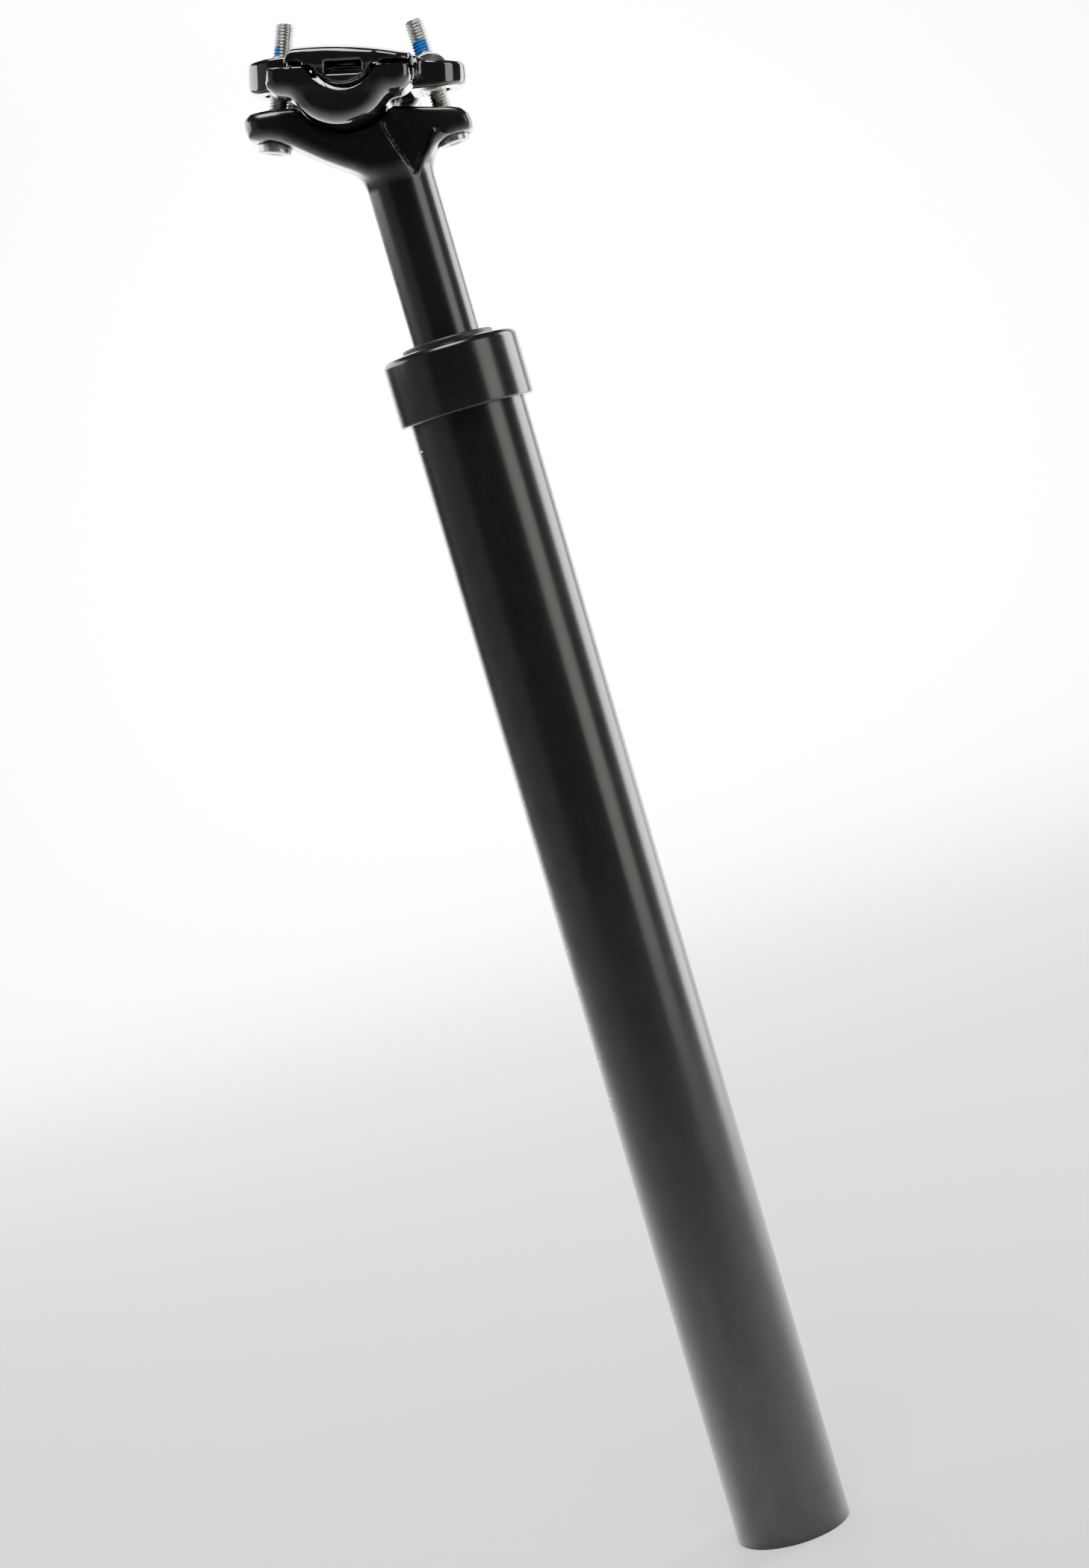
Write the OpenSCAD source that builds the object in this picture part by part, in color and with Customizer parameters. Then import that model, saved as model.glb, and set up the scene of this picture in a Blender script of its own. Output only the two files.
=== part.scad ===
// Suspension seatpost: a sprung telescoping post with a two-bolt saddle clamp.
// The origin is the centre of the outer tube's lower end, +Z runs up the tube and +X faces forward.

/* [Outer tube] */
// Outer diameter, which fits the frame's seat tube
tube_od = 30.9; // [30.6:0.1:31.2]
// Bore of the tube
tube_bore = 26.5; // [26.4:0.1:26.6]
// Length of the tube, up to its end inside the collar
tube_len = 320; // [318:1:321]

/* [Collar] */
// Outer diameter of the collar nut
collar_od = 36; // [35.4:0.2:37]
// Height of the collar nut's lower face
collar_z = 309.3; // [308:0.1:312]
// Height of the collar nut
collar_h = 17.7; // [17:0.1:18.5]

/* [Inner post] */
// Diameter of the sliding post
post_d = 18; // [17.8:0.1:18.2]
// Bore of the sliding post
post_bore = 12.5; // [10:0.5:13]
// Height of the sliding post's lower end
post_z = 208; // [206:1:209]
// Suspension travel
travel = 40; // [30:1:40]

/* [Spring] */
// Wire diameter of the main spring
wire_d = 3; // [2.5:0.1:3.2]
// Mean coil diameter of the main spring
coil_d = 20.4; // [20:0.1:21]
// Number of turns
coil_turns = 20; // [16:1:22]
// How far the preload plug screws in
preload_range = 6; // [4:1:6]

/* [Saddle clamp] */
// Angle of the saddle rails to the square of the post, front end down
rail_tilt = 13.9; // [12:0.1:16]
// Distance between the two saddle rails
rail_gauge = 44; // [43:0.5:44]
// Diameter of a saddle rail
rail_d = 7; // [6.8:0.1:7]
// Diameter of the cradle's round underside, which turns in the head
drum_d = 26.4; // [26:0.1:26.6]
// Width of the clamp across the bicycle
clamp_w = 54; // [53:0.5:55]

/* [Bolts] */
// Diameter of the clamp bolts
bolt_d = 5; // [4.8:0.1:5.1]
// Length of a clamp bolt with its head
bolt_len = 33.3; // [32:0.1:35]
// Diameter of a bolt head
head_d = 8.6; // [8.4:0.1:8.8]
// Height of a bolt head
head_h = 4.2; // [4:0.1:4.4]
// Diameter of a barrel nut
nut_d = 10; // [9.6:0.1:10]

/* [Hidden] */
$fn = 96;
run = 0.05;            // radial clearance of the sliding and turning fits
tube_r = tube_od / 2;
bore_r = tube_bore / 2;
slide_r = bore_r - run;
thread_r = tube_r - 0.35; // tube's end under the collar
post_r = post_d / 2;
collar_r = collar_od / 2;
collar_top = collar_z + collar_h;

// Preload plug, spring seat and what stands on the seat
plug_z = 2;
plug_h = 12;
seat_h = 4;
seat_z = plug_z + plug_h;
spring_z = seat_z + seat_h;
spigot_r = 7.8;
spigot_h = 6;
hex_af = 8;

// Sliding end of the post
cap_flange_h = 8;
cap_z = post_z - cap_flange_h;
boss_h = 6;
boss_z = cap_z - boss_h;
bumper_top = boss_z - travel - preload_range - 1;
clip_z = post_z + 2.2;
clip_h = 1.6;
guide_z = post_z + 4;
guide_h = 40;
topout_h = 5.7;
topout_z = guide_z + guide_h;
bush_z = topout_z + topout_h + 0.3;
key_w = 4;
key_tip_r = 14.35;
keyway_r = 14.45;
keyway_w = 4.2;
keyway_z = 150;

// Stack under the collar
flange_h = 2;
seal_r = 12.2;
seal_top = collar_top + 1.7;

// Clamp hinge line, which is the axis of the cradle's drum
hinge = [-6.6, 0, 398.8];
drum_r = drum_d / 2;
socket_r = drum_r + 0.08;
head_w = 18;           // width of the head and of the clamp's ears
part_v = 0.94;         // height of the cradle's upper face over the hinge line
rail_v = 0.2;          // height of the rail axes over the hinge line
wing_u = 18.6;         // half length of the cradle along the rails
bowl_r = 9.9;
bowl_v = 5.0;
rail_r = rail_d / 2;
rail_y = rail_gauge / 2;

// Clamp bolts: foot of each bolt in the post's frame, its lean and where its nut sits
front_foot = [16.15, 0, 376.2];
rear_foot = [-29.2, 0, 386.7];
front_lean = -2.5;
rear_lean = 21.2;
front_nut_s = 18.5;
rear_nut_s = 19.2;
bolt_r = bolt_d / 2;
washer_h = 1.5;
washer_r = 4.5;
swivel_r = 9;          // radius of the washer's rolling face
swivel_s = head_h + washer_h - swivel_r;
nut_l = 13;
socket_af = 4;

// Points of an arc, from angle a0 to angle a1 in n steps
function arc(c, r, a0, a1, n) =
    [for (i = [0:n]) c + r * [cos(a0 + (a1 - a0) * i / n), sin(a0 + (a1 - a0) * i / n)]];

// A flat outline in X and Z, made w thick across the bicycle
module across(w) {
    rotate([90, 0, 0]) linear_extrude(w, center = true) children();
}

// A cylinder of radius r and length w across the bicycle
module bar(r, w) {
    rotate([90, 0, 0]) cylinder(r = r, h = w, center = true);
}

module ring(r_out, r_in, h) {
    difference() {
        cylinder(r = r_out, h = h);
        translate([0, 0, -1]) cylinder(r = r_in, h = h + 2);
    }
}

module hex_hole(af, depth) {
    cylinder(d = af / cos(30), h = depth, $fn = 6);
}

// The clamp's own frame: X along the rails, Z square to them, origin on the hinge line
module in_clamp() {
    translate(hinge) rotate([0, rail_tilt, 0]) children();
}

// A bolt's own frame: origin at the foot of its head, Z up its axis
module on_bolt(foot, lean) {
    translate(foot) rotate([0, lean, 0]) children();
}

// ---- outer tube and what is fixed in it ----

module outer_tube() {
    color([0.05, 0.05, 0.055])
    difference() {
        union() {
            cylinder(r = tube_r, h = collar_z);
            cylinder(r = thread_r, h = tube_len);
        }
        translate([0, 0, -1]) cylinder(r = bore_r, h = tube_len + 2);
        for (side = [0, 180])
            rotate([0, 0, side])
                translate([0, -keyway_w / 2, keyway_z])
                    cube([keyway_r, keyway_w, tube_len]);
    }
}

module preload_plug() {
    color([0.1, 0.1, 0.11])
    translate([0, 0, plug_z])
    difference() {
        cylinder(r = slide_r, h = plug_h);
        translate([0, 0, -1]) hex_hole(hex_af, plug_h + 2);
    }
}

module spring_seat() {
    color([0.35, 0.35, 0.36])
    translate([0, 0, seat_z])
    difference() {
        union() {
            cylinder(r = slide_r, h = seat_h);
            cylinder(r = spigot_r, h = seat_h + spigot_h);
        }
        translate([0, 0, -1]) cylinder(r = 2, h = seat_h + spigot_h + 2);
    }
}

// Helical wire, swept as one closed skin
module main_spring() {
    steps = 12;
    sides = 6;
    wire_r = wire_d / 2;
    rise = cap_z - spring_z - wire_d - 0.1;
    count = coil_turns * steps;
    rings = [for (i = [0:count], k = [0:sides - 1])
        let (turn = i * 360 / steps, a = k * 360 / sides, r = coil_d / 2 + wire_r * cos(a))
        [r * cos(turn), r * sin(turn), spring_z + 0.05 + wire_r + rise * i / count + wire_r * sin(a)]];
    walls = [for (i = [0:count - 1], k = [0:sides - 1])
        let (j = (k + 1) % sides)
        [i * sides + k, (i + 1) * sides + k, (i + 1) * sides + j, i * sides + j]];
    ends = [[for (k = [0:sides - 1]) k], [for (k = [sides - 1:-1:0]) count * sides + k]];
    color([0.6, 0.6, 0.62]) polyhedron(rings, concat(walls, ends), convexity = 10);
}

module elastomer_bumper() {
    color([0.75, 0.55, 0.15])
    translate([0, 0, spring_z + spigot_h])
        cylinder(r = 5, h = bumper_top - spring_z - spigot_h);
}

module upper_bushing() {
    color([0.2, 0.2, 0.2])
    difference() {
        union() {
            translate([0, 0, bush_z]) cylinder(r = slide_r, h = tube_len - bush_z + flange_h);
            translate([0, 0, tube_len]) cylinder(r = thread_r - 0.1, h = flange_h);
        }
        translate([0, 0, bush_z - 1]) cylinder(r = post_r + run, h = tube_len);
    }
}

module wiper_seal() {
    base = tube_len + flange_h;
    color([0.04, 0.04, 0.04])
    rotate_extrude()
        polygon([[post_r + run, base], [seal_r + 1.4, base], [seal_r + 1.4, base + 2], [seal_r, base + 2],
            [seal_r, seal_top - 0.9], [seal_r - 0.8, seal_top], [post_r + 0.9, seal_top],
            [post_r + run, seal_top - 0.5]]);
}

module collar_nut() {
    lip = tube_len + flange_h + 2.1;
    groove = [collar_z + 1.7, collar_z + 3.6];
    color([0.05, 0.05, 0.055])
    rotate_extrude()
        polygon(concat(
            [[thread_r + run, collar_z], [collar_r - 0.7, collar_z], [collar_r, collar_z + 0.7]],
            arc([collar_r - 2.2, collar_top - 2.2], 2.2, 0, 90, 8),
            [[seal_r + 0.1, collar_top], [seal_r + 0.1, lip], [thread_r + run, lip],
            [thread_r + run, groove[1]], [thread_r + 1.5, groove[1]], [thread_r + 1.5, groove[0]],
            [thread_r + run, groove[0]]]));
}

module collar_o_ring() {
    color([0.03, 0.03, 0.03])
    translate([0, 0, collar_z + 2.65])
        rotate_extrude() translate([thread_r + 0.75, 0]) circle(r = 0.68, $fn = 24);
}

// ---- sliding post with its forged head ----

// Side outline of the head, from the rear ear down the neck and up to the front ear
head_outline = [[-21.1, 395.9], [-26.4, 397.0], [-32.4, 397.5], [-34.8, 396.6], [-35.4, 394.4], [-34.8, 391.1],
    [-32.1, 390.3], [-29.2, 389.7], [-26.5, 388.3], [-24, 386.1], [-17.3, 380.2], [-12.6, 376],
    [9.8, 374.1], [11.8, 376.1], [14.6, 377.5], [17.9, 378.2], [21.1, 377.7], [22.3, 378.2], [22.8, 379.8],
    [22.1, 382.8], [20.3, 384.1], [13.7, 386.1], [6.1, 388.4], [-8, 393]];

// Room for a bolt, its head and its rolling washer in an ear
module ear_cut(foot, lean) {
    well_r = head_d / 2 + 0.6;
    on_bolt(foot, lean) {
        translate([0, 0, -6]) cylinder(r = bolt_r + 0.9, h = 24);
        intersection() {
            translate([0, 0, -6]) cylinder(r = well_r, h = 20);
            translate([0, 0, swivel_s]) bar(swivel_r + run, head_w);
        }
    }
}

module post_head() {
    neck_z = 369;
    color([0.05, 0.05, 0.055])
    difference() {
        union() {
            translate([0, 0, post_z]) cylinder(r = post_r, h = neck_z + 1 - post_z);
            hull() {
                translate([0, 0, neck_z]) cylinder(r = post_r - 0.02, h = 1, $fn = 32);
                across(head_w - 0.5) polygon([[-12.6, 376.2], [-9, 380], [9, 378], [9.8, 374.3]]);
            }
            across(head_w) polygon(head_outline);
            translate([hinge[0], 0, hinge[2]])
                intersection() {
                    bar(socket_r + 1.7, head_w + 2);
                    translate([-0.5, 0, -20]) cube([24, head_w + 2, 24], center = true);
                }
        }
        translate([0, 0, post_z - 1]) cylinder(r = post_bore / 2, h = neck_z - 5 - post_z);
        translate([0, 0, clip_z - 0.1]) ring(post_r + 1, post_r - 0.7, clip_h + 0.2);
        translate(hinge) bar(socket_r, head_w + 4);
        ear_cut(front_foot, front_lean);
        ear_cut(rear_foot, rear_lean);
    }
}

module guide_bushing() {
    color([0.85, 0.83, 0.75])
    translate([0, 0, guide_z])
    difference() {
        ring(slide_r, post_r + 0.02, guide_h);
        for (side = [0, 180])
            rotate([0, 0, side])
                translate([12, -key_w / 2 - 0.02, 2])
                    cube([4, key_w + 0.04, guide_h - 4]);
    }
}

module guide_keys() {
    color([0.7, 0.7, 0.72])
    for (side = [0, 180])
        rotate([0, 0, side])
            translate([12.02, -key_w / 2, guide_z + 2.02])
                cube([key_tip_r - 12.02, key_w, guide_h - 4.04]);
}

module guide_circlip() {
    color([0.5, 0.5, 0.52])
    translate([0, 0, clip_z])
    difference() {
        ring(post_r + 1.6, post_r - 0.65, clip_h);
        translate([post_r - 3, -1.5, -1]) cube([8, 3, clip_h + 2]);
    }
}

module spring_cap() {
    color([0.1, 0.1, 0.11])
    difference() {
        union() {
            translate([0, 0, boss_z]) cylinder(r = spigot_r, h = boss_h + 1);
            translate([0, 0, cap_z]) cylinder(r = slide_r - 0.4, h = cap_flange_h - 0.02);
            translate([0, 0, post_z - 1]) cylinder(r = post_bore / 2 - 0.02, h = 15);
        }
        translate([0, 0, boss_z - 1]) cylinder(r = 2.5, h = 40);
    }
}

module top_out_bumper() {
    color([0.75, 0.55, 0.15])
    translate([0, 0, topout_z]) ring(slide_r - 0.4, post_r + 0.02, topout_h);
}

// ---- saddle clamp ----

module rail_channels() {
    for (side = [-1, 1])
        translate([0, side * rail_y, rail_v])
            rotate([0, 90, 0]) cylinder(r = rail_r, h = 60, center = true);
}

module lower_cradle() {
    foot_v = -5.9;
    wing_w = 15;
    wing = concat([[-wing_u, part_v]], arc([-wing_u + 4.9, foot_v + 4.9], 4.9, 180, 270, 6),
        arc([wing_u - 4.9, foot_v + 4.9], 4.9, 270, 360, 6), [[wing_u, part_v]]);
    color([0.04, 0.04, 0.045])
    in_clamp()
    difference() {
        union() {
            intersection() {
                bar(drum_r, clamp_w);
                translate([0, 0, part_v - 20]) cube([60, 60, 40], center = true);
            }
            for (side = [-1, 1])
                translate([0, side * (clamp_w - wing_w) / 2, 0]) across(wing_w) polygon(wing);
        }
        translate([0, 0, bowl_v]) bar(bowl_r, clamp_w + 2);
        rail_channels();
        for (side = [-1, 1])
            translate([0, side * rail_y, rail_v + 5]) cube([60, rail_d, 10], center = true);
        rotate([0, -rail_tilt, 0]) translate(-hinge) on_bolt(rear_foot, rear_lean)
            translate([0, 0, rear_nut_s]) bar(nut_d / 2 + 0.4, nut_l + 1);
    }
}

// Opening in an ear for a barrel nut and the bolt through it
module nut_pocket(foot, lean, s) {
    on_bolt(foot, lean) {
        translate([0, 0, s]) bar(nut_d / 2 + run, nut_l + 0.6);
        translate([-nut_d / 2 - run, -nut_l / 2 - 0.3, s]) cube([nut_d + 2 * run, nut_l + 0.6, 12]);
        translate([0, 0, 8]) cylinder(r = bolt_r + 1.3, h = 24);
    }
}

module upper_clamp() {
    low_v = part_v + 0.3;
    dip_r = 8.4;
    ears = [[-18, -2.6], [-22.6, -2.5], [-24.5, -1.7], [-25, 0], [-24.8, 4.6], [-24, 5.5], [-19, 6.2],
        [0, 7.0], [17.4, 5.2], [19.5, 4.4], [24, 4], [30.3, 3.9], [31.2, 3.2], [31.5, 0], [31.2, -1.2],
        [30.2, -1.9], [24, -2.9], [17, -3.2], [14.6, -2], [13.8, low_v], [-13.8, low_v], [-14.6, -2]];
    crown = [[-27, low_v], [-27, 4.7], [-24, 5.5], [-18, 6.2], [-9, 6.9], [9, 6.9], [18, 6.2], [24, 5.5],
        [27, 4.7], [27, low_v]];
    dome = [[-14.2, low_v], [-13.4, 3.6], [-11.5, 5.9], [-5, 6.6], [0, 6.9], [5, 6.6], [12, 5.6], [18.4, 4.4],
        [18.4, low_v]];
    color([0.04, 0.04, 0.045])
    in_clamp()
    difference() {
        union() {
            intersection() {
                across(clamp_w) polygon(dome);
                rotate([90, 0, 90]) linear_extrude(60, center = true) polygon(crown);
            }
            across(head_w) polygon(ears);
            intersection() {
                translate([0, 0, bowl_v]) bar(dip_r, clamp_w);
                translate([0, 0, low_v - 10]) cube([60, 60, 20.02], center = true);
            }
        }
        rail_channels();
        for (side = [-1, 1]) {
            translate([0, side * rail_y, rail_v - 5]) cube([40, rail_d, 10], center = true);
            translate([0.9, side * clamp_w / 2, 0.4]) cube([9.2, 6, 2.4], center = true);
        }
        rotate([0, -rail_tilt, 0]) translate(-hinge) {
            nut_pocket(front_foot, front_lean, front_nut_s);
            nut_pocket(rear_foot, rear_lean, rear_nut_s);
        }
    }
}

module bolt(foot, lean) {
    color([0.75, 0.75, 0.76])
    on_bolt(foot, lean)
    difference() {
        union() {
            cylinder(r = head_d / 2, h = head_h);
            cylinder(r = bolt_r, h = bolt_len);
        }
        translate([0, 0, -1]) hex_hole(socket_af, 3.6);
    }
}

module washer(foot, lean) {
    color([0.7, 0.7, 0.72])
    on_bolt(foot, lean)
    difference() {
        intersection() {
            translate([0, 0, head_h]) cylinder(r = washer_r, h = 4);
            translate([0, 0, swivel_s]) bar(swivel_r, head_w);
        }
        cylinder(r = bolt_r + 0.02, h = 12);
    }
}

module barrel_nut(foot, lean, s) {
    color([0.78, 0.78, 0.78])
    on_bolt(foot, lean)
    difference() {
        translate([0, 0, s]) bar(nut_d / 2, nut_l);
        cylinder(r = bolt_r + 0.35, h = bolt_len);
    }
}

module front_bolt() { bolt(front_foot, front_lean); }
module rear_bolt() { bolt(rear_foot, rear_lean); }
module front_washer() { washer(front_foot, front_lean); }
module rear_washer() { washer(rear_foot, rear_lean); }
module front_barrel_nut() { barrel_nut(front_foot, front_lean, front_nut_s); }
module rear_barrel_nut() { barrel_nut(rear_foot, rear_lean, rear_nut_s); }

outer_tube();
preload_plug();
spring_seat();
main_spring();
elastomer_bumper();
upper_bushing();
wiper_seal();
collar_nut();
collar_o_ring();
post_head();
guide_bushing();
guide_keys();
guide_circlip();
spring_cap();
top_out_bumper();
lower_cradle();
upper_clamp();
front_bolt();
rear_bolt();
front_washer();
rear_washer();
front_barrel_nut();
rear_barrel_nut();
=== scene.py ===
"""Suspension seatpost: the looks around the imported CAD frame.

The camera, the lights and the floor are in metres. Shape functions, outlines and rings are in millimetres.
"""
import math
from collections import namedtuple

import bpy
import numpy as np
import openvdb
from mathutils import Matrix, Vector


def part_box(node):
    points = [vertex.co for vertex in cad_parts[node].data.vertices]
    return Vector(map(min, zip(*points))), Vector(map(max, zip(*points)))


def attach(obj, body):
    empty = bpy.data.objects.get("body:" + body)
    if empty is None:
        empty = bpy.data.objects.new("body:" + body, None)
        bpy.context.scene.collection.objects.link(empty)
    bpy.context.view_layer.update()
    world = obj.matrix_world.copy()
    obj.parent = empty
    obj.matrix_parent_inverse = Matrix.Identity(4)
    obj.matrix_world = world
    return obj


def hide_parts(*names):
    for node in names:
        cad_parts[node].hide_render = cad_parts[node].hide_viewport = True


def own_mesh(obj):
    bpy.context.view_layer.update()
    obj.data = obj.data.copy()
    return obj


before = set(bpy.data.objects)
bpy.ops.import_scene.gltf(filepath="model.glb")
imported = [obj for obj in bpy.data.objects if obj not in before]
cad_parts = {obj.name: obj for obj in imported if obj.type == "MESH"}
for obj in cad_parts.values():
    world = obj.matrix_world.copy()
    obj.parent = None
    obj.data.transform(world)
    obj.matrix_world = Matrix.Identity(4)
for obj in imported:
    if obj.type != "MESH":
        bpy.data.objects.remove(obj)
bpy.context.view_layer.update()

MM = 0.001
COARSE = 1.0

# Outer tube, its collar and the seal
TUBE_R = 15.45
TUBE_BORE_R = 13.25
TUBE_LEN = 320
THREAD_R = 15.1                     # the tube's end under the collar
KEYWAY_R = 14.45                    # two keyways in the tube's bore, for the guide keys
KEYWAY_HALF = 2.1
KEYWAY_Z = 150
COLLAR_R = 18
COLLAR_Z, COLLAR_TOP = 309.3, 327.0
SEAL_R = 12.2

# Post and its forged head
POST_R = 9.0
POST_BORE_R = 6.25
POST_Z = 208
POST_BORE_TOP = 364
NECK_TOP = 383
HEAD_BACK, HEAD_FRONT = -35.5, 23.1
HEAD_HALF = 9.15
WEB_HALF = 7.4                      # half thickness under the front ear, between its hollows
SOCKET_R = 13.28                    # the hollow that the cradle's drum tilts in

# Saddle clamp, in its own frame: u forward along the rails, v up, from the hinge line
HINGE = (-6.6, 398.8)               # x and z of the hinge line
RAIL_TILT = math.radians(13.9)
RAIL_Y, RAIL_V, RAIL_R = 22.0, 0.2, 3.5
DRUM_R = 13.2
CRADLE_HALF = 27
WING_U, WING_FOOT = 18.6, -5.8
WING_INNER = 11.5                   # the wings start this far out from the middle
PART_V = 0.94                       # the parting plane of the two halves
PART_GAP = 0.3
EDGE_R = 3.4                        # the cradle's outer edges

# Clamp bolts and barrel nuts
Bolt = namedtuple("Bolt", "foot lean nut")      # x and z of the foot, the lean, and how far up its nut sits
FRONT = Bolt((16.15, 376.2), math.radians(-2.5), 18.5)
REAR = Bolt((-29.2, 386.7), math.radians(21.2), 19.2)
NUT_R, NUT_L = 5.0, 13.0
SCREW_HEAD_R, SCREW_HEAD_H = 4.3, 4.2
BOLT_R, BOLT_LEN = 2.5, 33.3
PITCH, THREAD_DEPTH, THREAD_START = 0.8, 0.46, 9.0
HEX_AF, HEX_DEPTH = 4.0, 2.6


# ---- camera, light and floor ----

CAMERA_AT = (0.0208, -0.8091, 0.2739)
CAMERA_AZIMUTH, CAMERA_ELEVATION, CAMERA_ROLL = -2.05, -4.49, 16.35
FOCAL_LENGTH, SENSOR_WIDTH = 70.9, 36
LIGHT_AIM = (0, 0, 0.22)
FLOOR_REACH = 9.0                   # to each side and to the front
BEND_Y, BEND_R = 1.6, 0.8           # where the floor curves up into the wall
WALL_TOP = 4.0


def make_camera():
    """The photograph's viewpoint, rolled so that the upright post leans in the picture."""
    azimuth, elevation, roll = (math.radians(a) for a in (CAMERA_AZIMUTH, CAMERA_ELEVATION, CAMERA_ROLL))
    level = math.cos(elevation)
    forward = Vector((math.sin(azimuth) * level, math.cos(azimuth) * level, math.sin(elevation)))
    side = forward.cross(Vector((0, 0, 1))).normalized()
    over = side.cross(forward)
    right = side * math.cos(roll) - over * math.sin(roll)
    up = over * math.cos(roll) + side * math.sin(roll)
    data = bpy.data.cameras.new("camera")
    data.lens = FOCAL_LENGTH
    data.sensor_width = SENSOR_WIDTH
    data.clip_start = 0.05
    camera = bpy.data.objects.new("camera", data)
    bpy.context.collection.objects.link(camera)
    axes = Matrix([[right[i], up[i], -forward[i]] for i in range(3)])
    camera.matrix_world = Matrix.Translation(CAMERA_AT) @ axes.to_4x4()
    bpy.context.scene.camera = camera


def area_light(name, at, aim, size, power, colour=(1, 1, 1), spread_deg=180):
    """A rectangular light. A narrow spread keeps one that hangs overhead off the floor in front."""
    data = bpy.data.lights.new(name, "AREA")
    data.shape = "RECTANGLE"
    data.size, data.size_y = size
    data.energy = power
    data.color = colour
    data.spread = math.radians(spread_deg)
    light = bpy.data.objects.new(name, data)
    light.location = at
    light.rotation_euler = (Vector(aim) - Vector(at)).to_track_quat("-Z", "Y").to_euler()
    bpy.context.collection.objects.link(light)


def softbox(name, angle, distance, height, size, power, colour=(1, 1, 1)):
    """A light beside the object. Angle 0 is the camera's side, 90 is right of the camera."""
    a = math.radians(angle)
    at = (math.sin(a) * distance, -math.cos(a) * distance, height)
    area_light(name, at, LIGHT_AIM, size, power, colour)


def make_light():
    world = bpy.data.worlds.new("studio")
    bpy.context.scene.world = world
    world.use_nodes = True
    background = world.node_tree.nodes["Background"]
    background.inputs["Color"].default_value = (1, 1, 1, 1)
    background.inputs["Strength"].default_value = 0.09
    warm, cool = (1, 0.96, 0.9), (0.9, 0.93, 1)
    softbox("right_strip", angle=119, distance=0.75, height=0.26, size=(0.34, 0.9), power=11)
    softbox("front_right", angle=57, distance=1.1, height=0.30, size=(0.52, 1.0), power=4.6, colour=warm)
    softbox("left_panel", angle=-80, distance=1.0, height=0.3, size=(1.6, 1.2), power=2.0, colour=cool)
    softbox("left_high", angle=-118, distance=0.7, height=0.61, size=(0.9, 0.3), power=4.2)
    area_light("top_front", (0.0, -0.45, 1.3), (0, 0, 0.4), size=(0.8, 0.5), power=2, spread_deg=50)
    area_light("floor_wash", (0.0, 1.6, 1.5), (0, 1.6, 0), size=(1.3, 1.0), power=44, spread_deg=76)
    area_light("wall_wash", (0.0, 1.1, 2.2), (0, 2.4, 0.5), size=(1.2, 0.8), power=150, spread_deg=66)


def make_stage():
    """A pale floor that curves up into a pale wall behind the object."""
    bend = np.radians(np.arange(6, 91, 6))
    profile = [(-FLOOR_REACH, 0.0), (BEND_Y, 0.0)]
    profile += [(BEND_Y + BEND_R * math.sin(a), BEND_R - BEND_R * math.cos(a)) for a in bend]
    profile += [(BEND_Y + BEND_R, WALL_TOP)]
    verts = [(x, y, z) for y, z in profile for x in (-FLOOR_REACH, FLOOR_REACH)]
    faces = [(2 * i, 2 * i + 1, 2 * i + 3, 2 * i + 2) for i in range(len(profile) - 1)]
    mesh = bpy.data.meshes.new("floor")
    mesh.from_pydata(verts, [], faces)
    mesh.shade_smooth()
    floor = bpy.data.objects.new("floor", mesh)
    bpy.context.collection.objects.link(floor)
    material, shader, nodes, link = new_material("floor_white", (0.93, 0.93, 0.93), 0.7)
    grain = nodes.new("ShaderNodeTexNoise")
    grain.inputs["Scale"].default_value = 300
    bump(nodes, link, shader, grain.outputs["Fac"], 0.02, 0.2 * MM)
    mesh.materials.append(material)


# ---- materials ----

NOISE_LOW, NOISE_HIGH = 0.3, 0.7    # most of a noise texture's values lie between these
GRAIN_DEPTH = 0.00002               # metres
EVEN = (1, 1, 1)


def new_material(name, colour, roughness, metallic=0.0):
    material = bpy.data.materials.new(name)
    material.use_nodes = True
    nodes = material.node_tree.nodes
    shader = nodes["Principled BSDF"]
    shader.inputs["Base Color"].default_value = (*colour, 1)
    shader.inputs["Roughness"].default_value = roughness
    shader.inputs["Metallic"].default_value = metallic
    return material, shader, nodes, material.node_tree.links.new


def position(nodes, link, stretch):
    """Object-space position, scaled along each axis."""
    where = nodes.new("ShaderNodeTexCoord")
    mapping = nodes.new("ShaderNodeMapping")
    mapping.inputs["Scale"].default_value = stretch
    link(where.outputs["Object"], mapping.inputs["Vector"])
    return mapping.outputs["Vector"]


def noise(nodes, link, scale, stretch=EVEN, detail=3.0):
    texture = nodes.new("ShaderNodeTexNoise")
    texture.inputs["Scale"].default_value = scale
    texture.inputs["Detail"].default_value = detail
    link(position(nodes, link, stretch), texture.inputs["Vector"])
    return texture.outputs["Fac"]


def bump(nodes, link, shader, height, strength, distance):
    node = nodes.new("ShaderNodeBump")
    node.inputs["Strength"].default_value = strength
    node.inputs["Distance"].default_value = distance
    link(height, node.inputs["Height"])
    link(node.outputs["Normal"], shader.inputs["Normal"])


def spread(nodes, link, value, low, high, socket):
    """Maps a noise value to a span of the socket."""
    node = nodes.new("ShaderNodeMapRange")
    node.inputs["From Min"].default_value = NOISE_LOW
    node.inputs["From Max"].default_value = NOISE_HIGH
    node.inputs["To Min"].default_value = low
    node.inputs["To Max"].default_value = high
    link(value, node.inputs["Value"])
    link(node.outputs["Result"], socket)


def tint(nodes, link, value, dark, light, socket):
    """Maps a noise value to a colour between two."""
    ramp = nodes.new("ShaderNodeValToRGB")
    first, last = ramp.color_ramp.elements
    first.position = NOISE_LOW
    last.position = NOISE_HIGH
    first.color = (*dark, 1)
    last.color = (*light, 1)
    link(value, ramp.inputs["Fac"])
    link(ramp.outputs["Color"], socket)


def shade(colour, factor):
    return [c * factor for c in colour]


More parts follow.
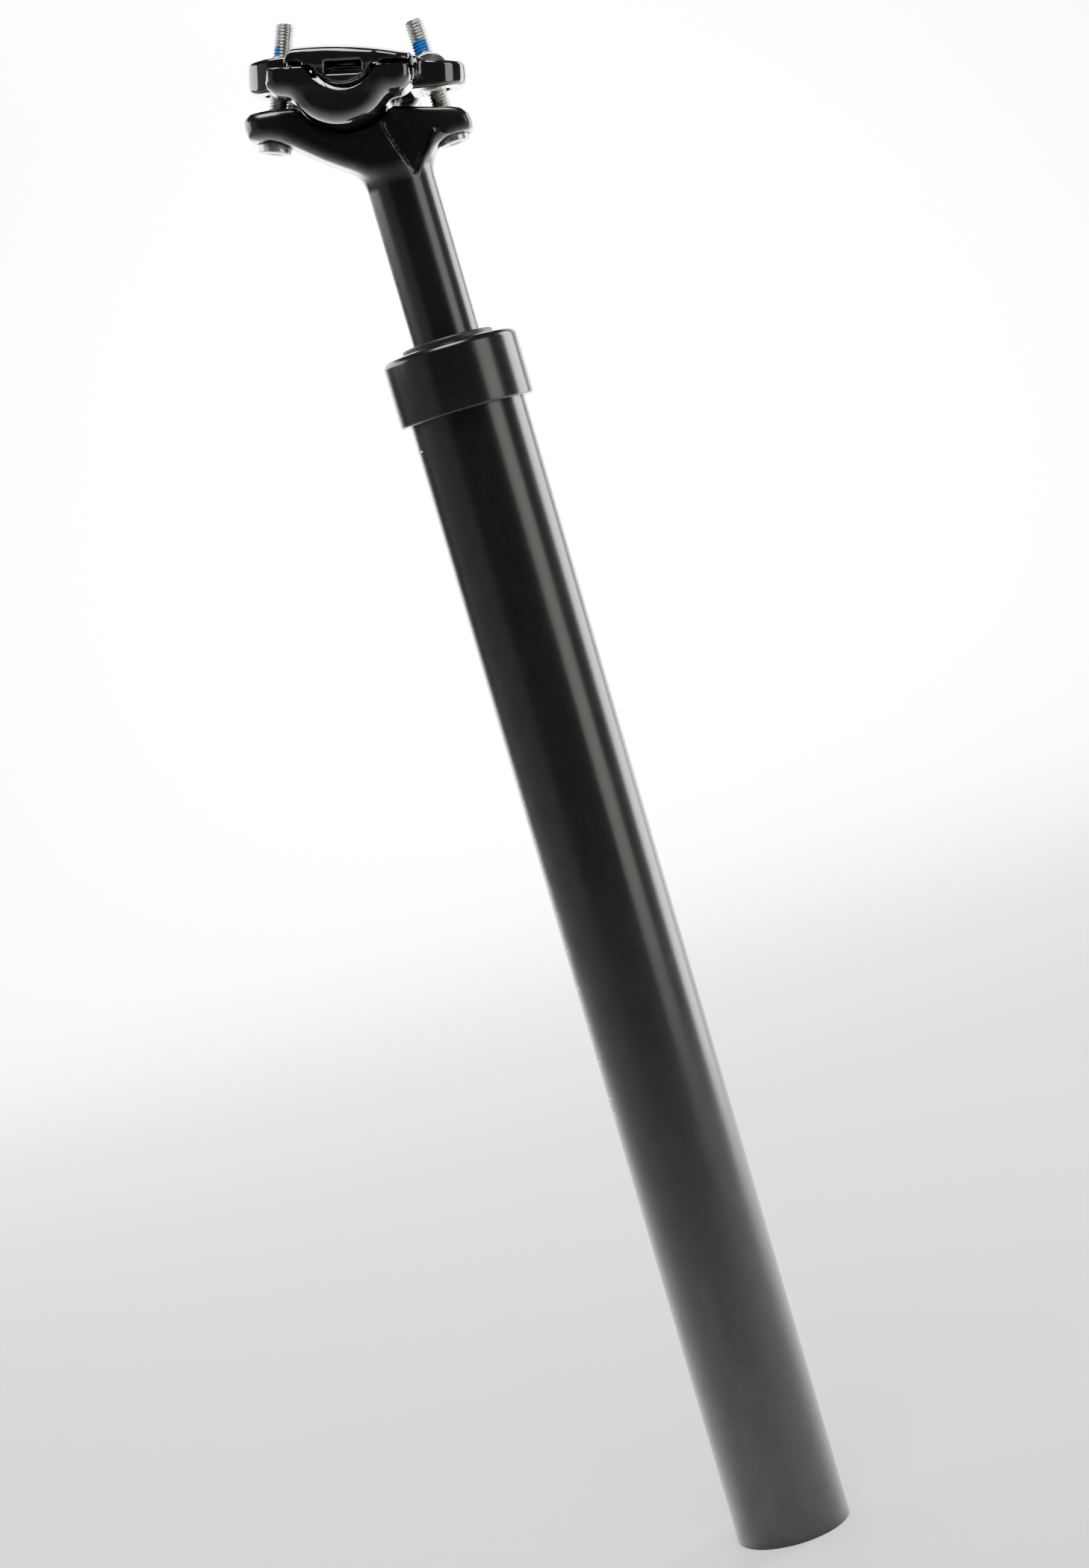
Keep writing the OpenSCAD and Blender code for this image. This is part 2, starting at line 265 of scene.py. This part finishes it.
def anodised(name, colour, rough, stretch, grain, strength, coat=0.0):
    """Black anodised aluminium: fine drawn or blasted grain under a clear film."""
    material, shader, nodes, link = new_material(name, colour, rough)
    shader.inputs["Specular IOR Level"].default_value = 0.6
    shader.inputs["Coat Weight"].default_value = coat
    shader.inputs["Coat Roughness"].default_value = 0.06
    fine = noise(nodes, link, grain, stretch)
    broad = noise(nodes, link, 45, (1, 1, 0.3), 2.0)
    spread(nodes, link, broad, rough * 0.9, rough * 1.12, shader.inputs["Roughness"])
    tint(nodes, link, fine, shade(colour, 0.8), shade(colour, 1.25), shader.inputs["Base Color"])
    bump(nodes, link, shader, fine, strength, GRAIN_DEPTH)
    return material


def metal(name, colour, rough):
    """Bare steel: a fine even grain, with broader dull and dark patches."""
    material, shader, nodes, link = new_material(name, colour, rough, 1.0)
    fine = noise(nodes, link, 3000)
    broad = noise(nodes, link, 500, EVEN, 4.0)
    spread(nodes, link, broad, rough * 0.7, rough * 1.5, shader.inputs["Roughness"])
    tint(nodes, link, broad, shade(colour, 0.75), colour, shader.inputs["Base Color"])
    bump(nodes, link, shader, fine, 0.08, GRAIN_DEPTH)
    return material


def plastic(name, colour, rough, grain=1800, strength=0.15):
    """Moulded plastic, rubber or print, with a faint mottle."""
    material, shader, nodes, link = new_material(name, colour, rough)
    fine = noise(nodes, link, grain)
    spread(nodes, link, fine, rough * 0.85, rough * 1.15, shader.inputs["Roughness"])
    mottle = noise(nodes, link, 120)
    tint(nodes, link, mottle, shade(colour, 0.85), colour, shader.inputs["Base Color"])
    bump(nodes, link, shader, fine, strength, 1.5 * GRAIN_DEPTH)
    return material


def make_materials():
    drawn, turned = (1, 1, 0.04), (0.04, 0.04, 1)
    tube_black = (0.006, 0.006, 0.0065)
    forged_black = (0.005, 0.005, 0.0055)
    clamp_black = (0.004, 0.004, 0.005)
    return {
        "tube": anodised("tube_black", tube_black, 0.23, drawn, grain=2500, strength=0.02),
        "collar": anodised("collar_black", tube_black, 0.22, turned, grain=2500, strength=0.02),
        "forged": anodised("forged_black", forged_black, 0.24, EVEN, grain=1600, strength=0.06, coat=0.12),
        "clamp": anodised("clamp_black", clamp_black, 0.10, EVEN, grain=1200, strength=0.04, coat=0.8),
        "steel": metal("bright_steel", (0.86, 0.85, 0.82), 0.2),
        "thread": metal("thread_steel", (0.74, 0.72, 0.68), 0.22),
        "spring": metal("spring_steel", (0.42, 0.42, 0.43), 0.3),
        "blue": plastic("threadlock_blue", (0.01, 0.16, 0.62), 0.45, grain=3000, strength=0.4),
        "white": plastic("print_white", (0.86, 0.86, 0.84), 0.5, grain=2500, strength=0.1),
        "rubber": plastic("seal_rubber", (0.014, 0.014, 0.015), 0.42, grain=2600, strength=0.2),
        "elastomer": plastic("elastomer", (0.62, 0.36, 0.05), 0.55),
        "black_plastic": plastic("black_plastic", (0.02, 0.02, 0.021), 0.4),
        "nylon": plastic("pale_nylon", (0.72, 0.69, 0.6), 0.45),
    }


# ---- distances, negative inside ----

def polygon(px, pz, points):
    """Distance to a closed outline."""
    best = np.full(np.broadcast(px, pz).shape, 1e9, dtype=float)
    sign = np.ones_like(best)
    for (ax, az), (bx, bz) in zip(points, points[1:] + points[:1]):
        ex, ez = bx - ax, bz - az
        wx, wz = px - ax, pz - az
        t = np.clip((wx * ex + wz * ez) / (ex * ex + ez * ez), 0, 1)
        best = np.minimum(best, (wx - ex * t) ** 2 + (wz - ez * t) ** 2)
        above, below = pz >= az, pz < bz
        left = ex * wz > ez * wx
        flip = (above & below & left) | (~above & ~below & ~left)
        sign = np.where(flip, -sign, sign)
    return sign * np.sqrt(best)


def join(a, b, edge):
    """Union with a fillet of about the size of edge."""
    h = np.clip(0.5 + 0.5 * (b - a) / edge, 0, 1)
    return b + (a - b) * h - edge * h * (1 - h)


def meet(a, b, edge):
    """Intersection with a rounded edge."""
    return -join(-a, -b, edge)


def cut(a, b, edge):
    """The first shape without the second, with a rounded edge."""
    return meet(a, -b, edge)


def corner(a, b, r):
    """Intersection of two faces at right angles, with an exact edge radius."""
    a, b = a + r, b + r
    return np.minimum(np.maximum(a, b), 0) + np.hypot(np.maximum(a, 0), np.maximum(b, 0)) - r


def plan_box(x, y, x0, x1, half, r):
    """A rectangle from x0 to x1, as wide as half on each side of y = 0."""
    return corner(np.abs(x - (x0 + x1) / 2) - (x1 - x0) / 2, np.abs(y) - half, r)


def along_bolt(x, z, bolt):
    """Offset across a bolt's axis in the XZ plane, and distance up it."""
    dx, dz = x - bolt.foot[0], z - bolt.foot[1]
    c, s = math.cos(bolt.lean), math.sin(bolt.lean)
    return dx * c - dz * s, dx * s + dz * c


def from_clamp(u, v):
    """x and z of a place in the clamp's frame."""
    c, s = math.cos(RAIL_TILT), math.sin(RAIL_TILT)
    return HINGE[0] + u * c + v * s, HINGE[1] - u * s + v * c


def clamp_to_row(points):
    x, z = from_clamp(points[:, 0], points[:, 2])
    return np.stack([x, points[:, 1], z], axis=1)


def bolt_to_row(points, bolt, lift=0.0):
    side, up = points[:, 0], points[:, 2] + lift
    c, s = math.cos(bolt.lean), math.sin(bolt.lean)
    x = bolt.foot[0] + side * c + up * s
    z = bolt.foot[1] - side * s + up * c
    return np.stack([x, points[:, 1], z], axis=1)


# ---- the forged and machined shapes ----

# The head's side view as x and z, and the hollow on each side under its front ear
HEAD = [(-21.1, 395.9), (-26.4, 397.0), (-32.0, 397.6), (-34.6, 396.9), (-35.4, 394.8), (-34.9, 391.0),
        (-32.1, 390.2), (-29.2, 389.7), (-26.5, 388.4), (-23.6, 386.2), (-17.0, 380.6), (-11.5, 376.6),
        (-7, 374), (6, 374), (9.4, 374.6), (11.8, 376.6), (14.6, 377.8), (17.9, 378.2), (21.1, 377.7),
        (22.4, 378.2), (23.0, 380.0), (22.4, 382.6), (20.3, 384.2), (13.7, 386.1), (6.1, 388.4), (-8, 393)]
FLANK = [(4.6, 371.6), (1.8, 378.6), (0.3, 384), (1.5, 394), (30, 394), (30, 372), (12, 380.5), (8.8, 376.4)]

# The upper clamp's ears and the two mouths under its wings, as u and v
EARS = [(-17, -2.4), (-22.6, -2.5), (-24.4, -1.7), (-25.1, 0), (-24.9, 4.8), (-24.0, 5.7), (-19, 6.2),
        (-12, 6.6), (0, 6.6), (14, 5.6), (19.5, 4.2), (24, 3.9), (30.3, 3.9), (31.3, 3.2), (31.6, 0),
        (31.2, -1.4), (30.2, -2.0), (24, -2.9), (17, -3.2), (15.0, -2), (14.0, 1.3), (-14.0, 1.3), (-15, -2)]
REAR_MOUTH = [(-18.2, 0.9), (-9.0, 0.9), (-8.8, 2.0), (-9.6, 2.4), (-18.2, 1.6)]
FRONT_MOUTH = [(10.6, 0.9), (19, 0.9), (19, 1.9), (12.0, 2.0), (10.8, 1.6)]


def forging(x, y, z):
    """The post's upper end: neck, both ears and the socket for the clamp."""
    hole_gap, well_gap, washer_room = 0.9, 0.5, 1.5
    plan = plan_box(x, y, HEAD_BACK, HEAD_FRONT, HEAD_HALF, r=6.5)
    slab = meet(polygon(x, z, HEAD), plan, edge=3.4)
    neck = meet(np.hypot(x, y) - POST_R, z - NECK_TOP, edge=3)
    body = join(slab, neck, edge=4.5)
    body = cut(body, np.maximum(polygon(x, z, FLANK), WEB_HALF - np.abs(y)), edge=1.5)
    body = cut(body, np.hypot(x - HINGE[0], z - HINGE[1]) - SOCKET_R, edge=1.7)
    for bolt in (FRONT, REAR):
        side, up = along_bolt(x, z, bolt)
        across = np.hypot(side, y)
        body = cut(body, across - BOLT_R - hole_gap, edge=0.5)
        well = np.maximum(across - SCREW_HEAD_R - well_gap, up - SCREW_HEAD_H - washer_room)
        body = cut(body, well, edge=0.4)
    return body


def wing_outline():
    """The cradle's wings from the side: upright ends, round lower corners, open at the top."""
    r = 4.6
    arc = [(math.cos(a), math.sin(a)) for a in np.radians(np.arange(180, 271, 15))]
    left = [(-WING_U + r + r * c, WING_FOOT + r + r * s) for c, s in arc]
    top = 6
    return [(-WING_U, top)] + left + [(-u, v) for u, v in reversed(left)] + [(WING_U, top)]


def rail_slots(y, v):
    """The two rail channels, round below and open upwards."""
    side = np.abs(y) - RAIL_Y
    return np.minimum(np.hypot(side, v - RAIL_V) - RAIL_R, np.maximum(np.abs(side) - RAIL_R, RAIL_V - v))


def cradle(u, y, v):
    """Lower half of the saddle clamp."""
    hollow_u, hollow_v, hollow_r = 0.6, 5.0, 9.9
    nut_gap, nut_end_gap = 0.4, 0.5
    half = np.abs(y) - CRADLE_HALF
    wings = corner(polygon(u, v, wing_outline()), half, EDGE_R)
    wings = meet(wings, WING_INNER - np.abs(y), edge=2.5)
    drum = corner(np.hypot(u, v) - DRUM_R, half, EDGE_R)
    body = join(wings, drum, edge=2.2)
    body = meet(body, v - PART_V, edge=0.5)
    body = cut(body, np.hypot(u - hollow_u, v - hollow_v) - hollow_r, edge=0.7)
    off, up = along_bolt(*from_clamp(u, v), REAR)
    relief = np.maximum(np.hypot(off, up - REAR.nut) - NUT_R - nut_gap, np.abs(y) - NUT_L / 2 - nut_end_gap)
    return cut(cut(body, relief, edge=0.4), rail_slots(y, v), edge=0.5)


def cap_deck(u, y, v, low):
    """The upper clamp's roof: crowned across, falling to both ends, its rear end slanted."""
    crown = 2.0 * np.clip((CRADLE_HALF - np.abs(y)) / 7, 0, 1) ** 0.6
    roof = 5.05 - 0.0052 * (u + 4.5) ** 2 + crown
    slant = (-13.9 - u + 0.45 * (v - low)) * 0.9
    plan = np.maximum(plan_box(u, y, -18.2, 18.6, 26.95, r=4.0), slant)
    return meet(meet(plan, (v - roof) * 0.9, edge=1.1), low - v, edge=0.4)


def cut_channels(body, side, v):
    """The rails' channels in the upper clamp, round above and open downwards."""
    channel = np.hypot(side - RAIL_Y, v - RAIL_V) - RAIL_R
    below = np.maximum(np.abs(side - RAIL_Y) - RAIL_R, v - RAIL_V)
    return cut(body, np.minimum(channel, below), edge=0.5)


def cut_nut_seat(body, u, y, v, bolt):
    """A trough for the barrel nut, open at the top, and a slot for its bolt."""
    nut_gap, nut_end_gap, bolt_gap = 0.05, 0.3, 1.3
    off, up = along_bolt(*from_clamp(u, v), bolt)
    trough = np.where(up > bolt.nut, np.abs(off), np.hypot(off, up - bolt.nut)) - NUT_R - nut_gap
    body = cut(body, np.maximum(trough, np.abs(y) - NUT_L / 2 - nut_end_gap), edge=0.4)
    return cut(body, np.hypot(off, y) - BOLT_R - bolt_gap, edge=0.4)


def upper(u, y, v):
    """Upper half of the saddle clamp."""
    side = np.abs(y)
    low = PART_V + PART_GAP
    hub_u, hub_v, hub_r = 0.9, 5.0, 8.5
    mouth_half, window_half = 25, 24
    hub = corner(np.hypot(u - hub_u, v - hub_v) - hub_r, side - 26.9, 0.8)
    hub = meet(hub, v - 4.0, edge=1.0)
    ears = meet(polygon(u, v, EARS), plan_box(u, y, -25.2, 31.7, 9.1, r=8.8), edge=1.2)
    body = join(join(cap_deck(u, y, v, low), ears, edge=3.0), hub, edge=0.8)
    for mouth in (REAR_MOUTH, FRONT_MOUTH):
        body = cut(body, np.maximum(polygon(u, v, mouth), mouth_half - side), edge=0.4)
    body = cut_channels(body, side, v)
    window = np.maximum(plan_box(u - 1.4, v - 0.5, -4.6, 4.6, 1.5, r=0.6), window_half - side)
    body = cut(body, window, edge=0.9)
    for bolt in (FRONT, REAR):
        body = cut_nut_seat(body, u, y, v, bolt)
    return body


def nut(side, y, up):
    """A barrel nut in its bolt's frame, with its centre at the origin."""
    bore_gap = 0.35
    body = corner(np.hypot(side, up) - NUT_R, np.abs(y) - NUT_L / 2, 0.5)
    return cut(body, np.hypot(side, y) - BOLT_R - bore_gap, edge=0.4)


# ---- meshes ----

def solid_mesh(shape, low, high, step):
    """Skins a shape function inside a box, and pulls each point onto the exact surface."""
    step = step * COARSE
    axes = [np.arange(a, b + step, step) for a, b in zip(low, high)]
    x, y, z = np.meshgrid(*axes, indexing="ij", sparse=True)
    field = np.broadcast_to(shape(x, y, z), [len(a) for a in axes])
    grid = openvdb.FloatGrid(background=float(3 * step))
    grid.copyFromArray(np.ascontiguousarray(field, dtype=np.float32))
    points, _, quads = grid.convertToPolygons(isovalue=0.0, adaptivity=0.0)
    points = points.astype(float) * step + np.array([a[0] for a in axes])
    return settle(points, shape), [tuple(int(i) for i in q) for q in quads]


def settle(points, shape):
    """Newton steps along the slope, each limited, and limited in all."""
    tiny, least_slope, step_limit, limit = 0.01, 0.2, 0.2, 0.3
    start = points.copy()
    for _ in range(3):
        value = shape(*points.T)
        slope = np.stack([(shape(*(points + nudge).T) - value) / tiny for nudge in tiny * np.eye(3)], axis=1)
        steepness = np.maximum((slope ** 2).sum(axis=1), least_slope)
        move = -value[:, None] * slope / steepness[:, None]
        points = points + np.clip(move, -step_limit, step_limit)
    return start + np.clip(points - start, -limit, limit)


def lathe(rings, count=192, closed=False):
    """Rings of (radius, height) turned about Z, where a radius may depend on the angle.

    A closed lathe joins its last ring to its first, for a ring-shaped solid.
    """
    turn = np.arange(count) * 2 * math.pi / count
    points, faces = [], []
    for radius, height in rings:
        r = radius(turn) if callable(radius) else np.full(count, float(radius))
        points.append(np.stack([r * np.cos(turn), r * np.sin(turn), np.full(count, float(height))], axis=1))
    for i in range(len(rings) if closed else len(rings) - 1):
        here, there = i * count, (i + 1) % len(rings) * count
        for k in range(count):
            j = (k + 1) % count
            faces.append((here + k, here + j, there + j, there + k))
    return np.concatenate(points), faces


def arc_rings(r, z, radius, start, end, steps):
    """Rings along an arc about (r, z), from one angle in degrees to another."""
    turn = np.radians(np.linspace(start, end, steps + 1))
    return [(r + radius * math.cos(a), z + radius * math.sin(a)) for a in turn]


def flipped(faces):
    return [face[::-1] for face in faces]


def merge(parts):
    """Makes one (points, faces) pair of several."""
    points, faces, base = [], [], 0
    for part, part_faces in parts:
        points.append(part)
        faces += [tuple(i + base for i in face) for face in part_faces]
        base += len(part)
    return np.concatenate(points), faces


def above(points, faces, z):
    """The faces that lie wholly above a height, with only their own points."""
    kept = [f for f in faces if min(points[i][2] for i in f) > z]
    used = sorted({i for f in kept for i in f})
    index = {old: new for new, old in enumerate(used)}
    return points[used], [tuple(index[i] for i in f) for f in kept]


def make_piece(name, points, faces, materials, body, replaced=None, slot=None, sharp_deg=35):
    """Turns millimetre points into a named piece that rides on a body."""
    mesh = bpy.data.meshes.new(name)
    mesh.from_pydata((np.asarray(points) * MM).tolist(), [], faces)
    mesh.validate()
    mesh.update()
    for material in materials:
        mesh.materials.append(material)
    piece = bpy.data.objects.new(name, mesh)
    bpy.context.collection.objects.link(piece)
    mesh.shade_smooth()
    mesh.set_sharp_from_angle(angle=math.radians(sharp_deg))
    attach(piece, body)
    if replaced:
        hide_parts(replaced)
    return piece


# ---- tube, collar, seal and post ----

def keyed_bore(turn):
    """The tube's bore, with the two guide keyways."""
    in_keyway = np.abs(np.sin(turn)) * KEYWAY_R < KEYWAY_HALF
    return np.where(in_keyway, KEYWAY_R, TUBE_BORE_R)


def make_tube(look):
    foot_chamfer, mouth_chamfer = 0.15, 0.3
    rings = [(TUBE_R - foot_chamfer, 0), (TUBE_R, foot_chamfer)]
    rings += [(TUBE_R, z) for z in (60, 120, 180, 240, COLLAR_Z)]
    rings += [(THREAD_R, COLLAR_Z), (THREAD_R, TUBE_LEN), (keyed_bore, TUBE_LEN), (keyed_bore, KEYWAY_Z),
              (TUBE_BORE_R, KEYWAY_Z - 0.1), (TUBE_BORE_R, mouth_chamfer), (TUBE_BORE_R + mouth_chamfer, 0)]
    points, faces = lathe(rings, 256, closed=True)
    make_piece("tube_skin", points, flipped(faces), [look["tube"]], "outer", "outer_tube", "tube_black")


def make_collar(look):
    edge, shoulder = 0.55, 2.0
    bore = THREAD_R + 0.05
    seal_bore = SEAL_R + 0.1
    step_z = TUBE_LEN + 4.1
    groove_r, groove_low, groove_high = bore + 1.45, COLLAR_Z + 1.7, COLLAR_Z + 3.6
    rings = arc_rings(COLLAR_R - edge, COLLAR_Z + edge, edge, 270, 360, 4)
    rings += arc_rings(COLLAR_R - shoulder, COLLAR_TOP - shoulder, shoulder, 0, 90, 8)
    rings += [(SEAL_R + 0.5, COLLAR_TOP), (seal_bore, COLLAR_TOP - 0.4), (seal_bore, step_z), (bore, step_z),
              (bore, groove_high), (groove_r, groove_high), (groove_r, groove_low), (bore, groove_low),
              (bore, COLLAR_Z)]
    points, faces = lathe(rings, 256, closed=True)
    make_piece("collar", points, faces, [look["collar"]], "outer", "collar_nut", "tube_black")


def make_seal(look):
    """A flange under the collar, a plain ring above it and a lip that wipes the post."""
    base, top = TUBE_LEN + 2, COLLAR_TOP + 1.7
    flange_r, flange_top = SEAL_R + 1.4, base + 2
    inner = POST_R + 0.05
    edge = 0.6
    rings = [(flange_r, base), (flange_r, flange_top), (SEAL_R, flange_top), (SEAL_R, top - 0.8)]
    rings += arc_rings(SEAL_R - edge, top - edge, edge, 0, 90, 5)
    rings += [(inner + 1.3, top), (inner + 0.5, top - 0.5), (inner + 0.15, top - 0.15), (inner, top - 0.2),
              (inner, base)]
    points, faces = lathe(rings, closed=True)
    make_piece("wiper_ring", points, faces, [look["rubber"]], "outer", "wiper_seal", "seal_rubber")


def make_post(look):
    """The forged head from the skinned shape, and the plain post below it from a lathe."""
    seam = 326.0
    chamfer, groove_r = 0.5, POST_R - 0.7
    groove_low, groove_high = POST_Z + 2.1, POST_Z + 3.9
    head = above(*solid_mesh(forging, (-37, -11, seam - 1), (25, 11, 400), 0.4), seam)
    foot = (POST_R - chamfer, POST_Z)
    outer = lathe([foot, (POST_R, POST_Z + chamfer), (POST_R, groove_low), (groove_r, groove_low),
                   (groove_r, groove_high), (POST_R, groove_high), (POST_R, seam + 0.5)])
    bore_points, bore_faces = lathe([foot, (POST_BORE_R, POST_Z), (POST_BORE_R, POST_BORE_TOP),
                                     (0.001, POST_BORE_TOP)])
    points, faces = merge([head, outer, (bore_points, flipped(bore_faces))])
    make_piece("post_forging", points, faces, [look["forged"]], "post", "post_head", "forged_black",
               sharp_deg=40)


# ---- saddle clamp, nuts and bolts ----

def make_clamp(look):
    halves = (("rail_cradle", "lower_cradle", cradle, (-20, -28.5, -14.5), (20, 28.5, 2.5), 0.36),
              ("rail_cap", "upper_clamp", upper, (-26.5, -28.5, -5), (33, 28.5, 9), 0.34))
    for name, node, shape, low, high, step in halves:
        points, faces = solid_mesh(shape, low, high, step)
        make_piece(name, clamp_to_row(points), faces, [look["clamp"]], "clamp", node, "clamp_black",
                   sharp_deg=40)


def make_nuts(look):
    for name, bolt in (("front", FRONT), ("rear", REAR)):
        points, faces = solid_mesh(nut, (-6, -7.5, -6), (6, 7.5, 6), 0.25)
        points = bolt_to_row(points, bolt, bolt.nut)
        make_piece(name + "_barrel", points, faces, [look["steel"]], name + "_nut", name + "_barrel_nut",
                   "bright_steel", sharp_deg=40)


def hexagon(turn):
    """Radius of the key socket at an angle."""
    return HEX_AF / 2 / np.cos((turn % (math.pi / 3)) - math.pi / 6)


def thread_radius(turn, height):
    """Radius of a rounded 60 degree thread that fades in at its start and is chamfered at its end."""
    phase = (height / PITCH - turn / (2 * math.pi)) % 1.0
    wave = np.clip(np.abs(phase - 0.5) * 2.6 - 0.3, 0, 1)
    fade = np.clip((height - THREAD_START) / PITCH, 0, 1)
    tip = np.clip((BOLT_LEN - height) / 0.7, 0, 1)
    return BOLT_R - THREAD_DEPTH * wave * fade - 0.55 * (1 - tip)


def thread_ring(height, inset=0.0):
    return lambda turn: thread_radius(turn, height) - inset


def bolt_rings():
    """From the middle of the key socket, over the head and along the thread to the bolt's end."""
    centre, chamfer, head_edge = 0.001, 0.25, 0.35
    rings = [(centre, 3.3), (HEX_AF / 2 * 0.98, HEX_DEPTH), (hexagon, HEX_DEPTH), (hexagon, chamfer),
             (lambda turn: hexagon(turn) + chamfer, 0.0), (SCREW_HEAD_R - 0.55, 0.0)]
    rings += arc_rings(SCREW_HEAD_R - head_edge, head_edge, head_edge, 290, 360, 3)
    rings += [(SCREW_HEAD_R, SCREW_HEAD_H - chamfer), (SCREW_HEAD_R - chamfer, SCREW_HEAD_H),
              (BOLT_R + 0.3, SCREW_HEAD_H), (BOLT_R, SCREW_HEAD_H + 0.3), (BOLT_R, THREAD_START - 0.5)]
    heights = np.arange(THREAD_START, BOLT_LEN, PITCH / 14 * COARSE)
    rings += [(thread_ring(height), height) for height in heights]
    return rings + [(thread_ring(BOLT_LEN - 0.001, 0.05), BOLT_LEN), (centre, BOLT_LEN)]


def make_bolt(look, name, bolt, blue_span, blue_side):
    """Hex socket screw with a true helical thread, and a patch of threadlocker on it."""
    thread, blue, steel = range(3)
    points, faces = lathe(bolt_rings(), 72)
    materials = [look["thread"], look["blue"], look["steel"]]
    piece = make_piece(name + "_screw", bolt_to_row(points, bolt), faces, materials, name + "_bolt_set",
                       name + "_bolt", "bright_steel", sharp_deg=50)
    wavy = 0.35 * np.sin(np.arctan2(points[:, 1], points[:, 0]) * 3.0)
    for corners, facet in zip(faces, piece.data.polygons):
        up = sum(points[i, 2] for i in corners) / len(corners)
        side = sum(points[i, 0] for i in corners) / len(corners)
        start, end = (height + wavy[corners[0]] for height in blue_span)
        if up < SCREW_HEAD_H + 0.1:
            facet.material_index = steel
        elif start < up < end and side < blue_side:
            facet.material_index = blue
        else:
            facet.material_index = thread


# ---- spring ----

def coil(bottom, top, radius, wire, turns):
    """A compression spring's wire as a closed tube, with its end turns wound closer."""
    sides, per_turn = 14, 40
    count = turns * per_turn
    points, faces = [], []
    for i in range(count + 1):
        turn = i * 2 * math.pi / per_turn
        eased = np.interp(i / count, [0, 0.05, 0.95, 1], [0, 0.016, 0.984, 1])
        z = bottom + wire + (top - bottom - 2 * wire) * eased
        for k in range(sides):
            around = k * 2 * math.pi / sides
            r = radius + wire * math.cos(around)
            points.append((r * math.cos(turn), r * math.sin(turn), z + wire * math.sin(around)))
    for i in range(count):
        for k in range(sides):
            j = (k + 1) % sides
            faces.append((i * sides + k, (i + 1) * sides + k, (i + 1) * sides + j, i * sides + j))
    faces.append(tuple(range(sides)))
    faces.append(tuple(count * sides + k for k in range(sides - 1, -1, -1)))
    return points, faces


def make_spring(look):
    """The main spring in its CAD node's space."""
    low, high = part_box("main_spring")
    points, faces = coil(low[2] / MM, high[2] / MM, radius=10.2, wire=1.5, turns=20)
    piece = make_piece("coil_spring", points, faces, [look["spring"]], "spring_base", "main_spring",
                       "spring_steel", sharp_deg=60)
    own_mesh(piece)


# ---- printed insertion scale ----

SCALE_AZIMUTH = math.radians(196)
SCALE_TOP, SCALE_PITCH = 212.7, 10.2
DIGIT_HEIGHT = 2.5
PRINT_HALF = 0.03                   # half the print's thickness, which straddles the tube's surface


def wrap(points, lift):
    """Bends flat print, X along the tube's rim and Y up it, round the tube."""
    r = TUBE_R + lift
    turn = SCALE_AZIMUTH + points[:, 0] / TUBE_R
    return np.stack([r * np.cos(turn), r * np.sin(turn), points[:, 1]], axis=1)


def digit(character):
    """A digit as a flat mesh from Blender's own font, centred on the origin."""
    data = bpy.data.curves.new("digit", "FONT")
    data.body = character
    data.size = DIGIT_HEIGHT * 1.4
    data.resolution_u = 6
    holder = bpy.data.objects.new("digit", data)
    bpy.context.collection.objects.link(holder)
    bpy.context.view_layer.update()
    mesh = bpy.data.meshes.new_from_object(holder.evaluated_get(bpy.context.evaluated_depsgraph_get()))
    points = np.array([v.co for v in mesh.vertices])
    faces = [tuple(p.vertices) for p in mesh.polygons]
    bpy.data.objects.remove(holder)
    bpy.data.curves.remove(data)
    bpy.data.meshes.remove(mesh)
    return points - (points.min(axis=0) + points.max(axis=0)) / 2, faces


def tick(half_length, low, high, parts=6):
    """A flat bar across the tube, in enough parts to bend round it."""
    points = [(x, z, 0) for x in np.linspace(-half_length, half_length, parts + 1) for z in (low, high)]
    return np.array(points), [(2 * i, 2 * i + 2, 2 * i + 3, 2 * i + 1) for i in range(parts)]


def printed(flat, flat_faces):
    """Wraps flat print round the tube as a thin closed solid."""
    n = len(flat)
    edges = {}
    faces = []
    for face in flat_faces:
        faces += [face, tuple(i + n for i in reversed(face))]
        edges.update(dict.fromkeys(zip(face, face[1:] + face[:1])))
    faces += [(b, a, a + n, b + n) for a, b in edges if (b, a) not in edges]
    return np.concatenate([wrap(flat, PRINT_HALF), wrap(flat, -PRINT_HALF)]), faces


def make_scale(look):
    """Insertion scale on the rear: digits 9 to 0 with a tick between each pair, and a limit line above."""
    widen, tick_half, line_half, line_low, line_high = 1.3, 0.18, 2.6, 302.3, 302.7
    parts = []
    for i in range(10):
        points, faces = digit(str(9 - i))
        parts.append(printed(points * (widen, 1, 1) + (0, SCALE_TOP - i * SCALE_PITCH, 0), faces))
        if i < 9:
            z = SCALE_TOP - (i + 0.5) * SCALE_PITCH
            parts.append(printed(*tick(1.7, z - tick_half, z + tick_half)))
    parts.append(printed(*tick(line_half, line_low, line_high, parts=12)))
    make_piece("insertion_scale", *merge(parts), [look["white"]], "outer")


# ---- CAD nodes that stay visible ----

FINISHES = {
    "preload_plug": "black_plastic", "spring_seat": "spring", "elastomer_bumper": "elastomer",
    "upper_bushing": "black_plastic", "collar_o_ring": "rubber", "guide_bushing": "nylon",
    "guide_keys": "spring", "guide_circlip": "spring", "spring_cap": "black_plastic",
    "top_out_bumper": "elastomer", "front_washer": "steel", "rear_washer": "steel",
}


def dress_cad(look):
    for node, finish in FINISHES.items():
        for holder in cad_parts[node].material_slots:
            holder.material = look[finish]


make_camera()
make_light()
make_stage()
look = make_materials()
make_tube(look)
make_collar(look)
make_seal(look)
make_post(look)
make_clamp(look)
make_nuts(look)
make_bolt(look, "front", FRONT, blue_span=(24.4, 27.4), blue_side=1.5)
make_bolt(look, "rear", REAR, blue_span=(24.6, 27.2), blue_side=-0.6)
make_spring(look)
make_scale(look)
dress_cad(look)
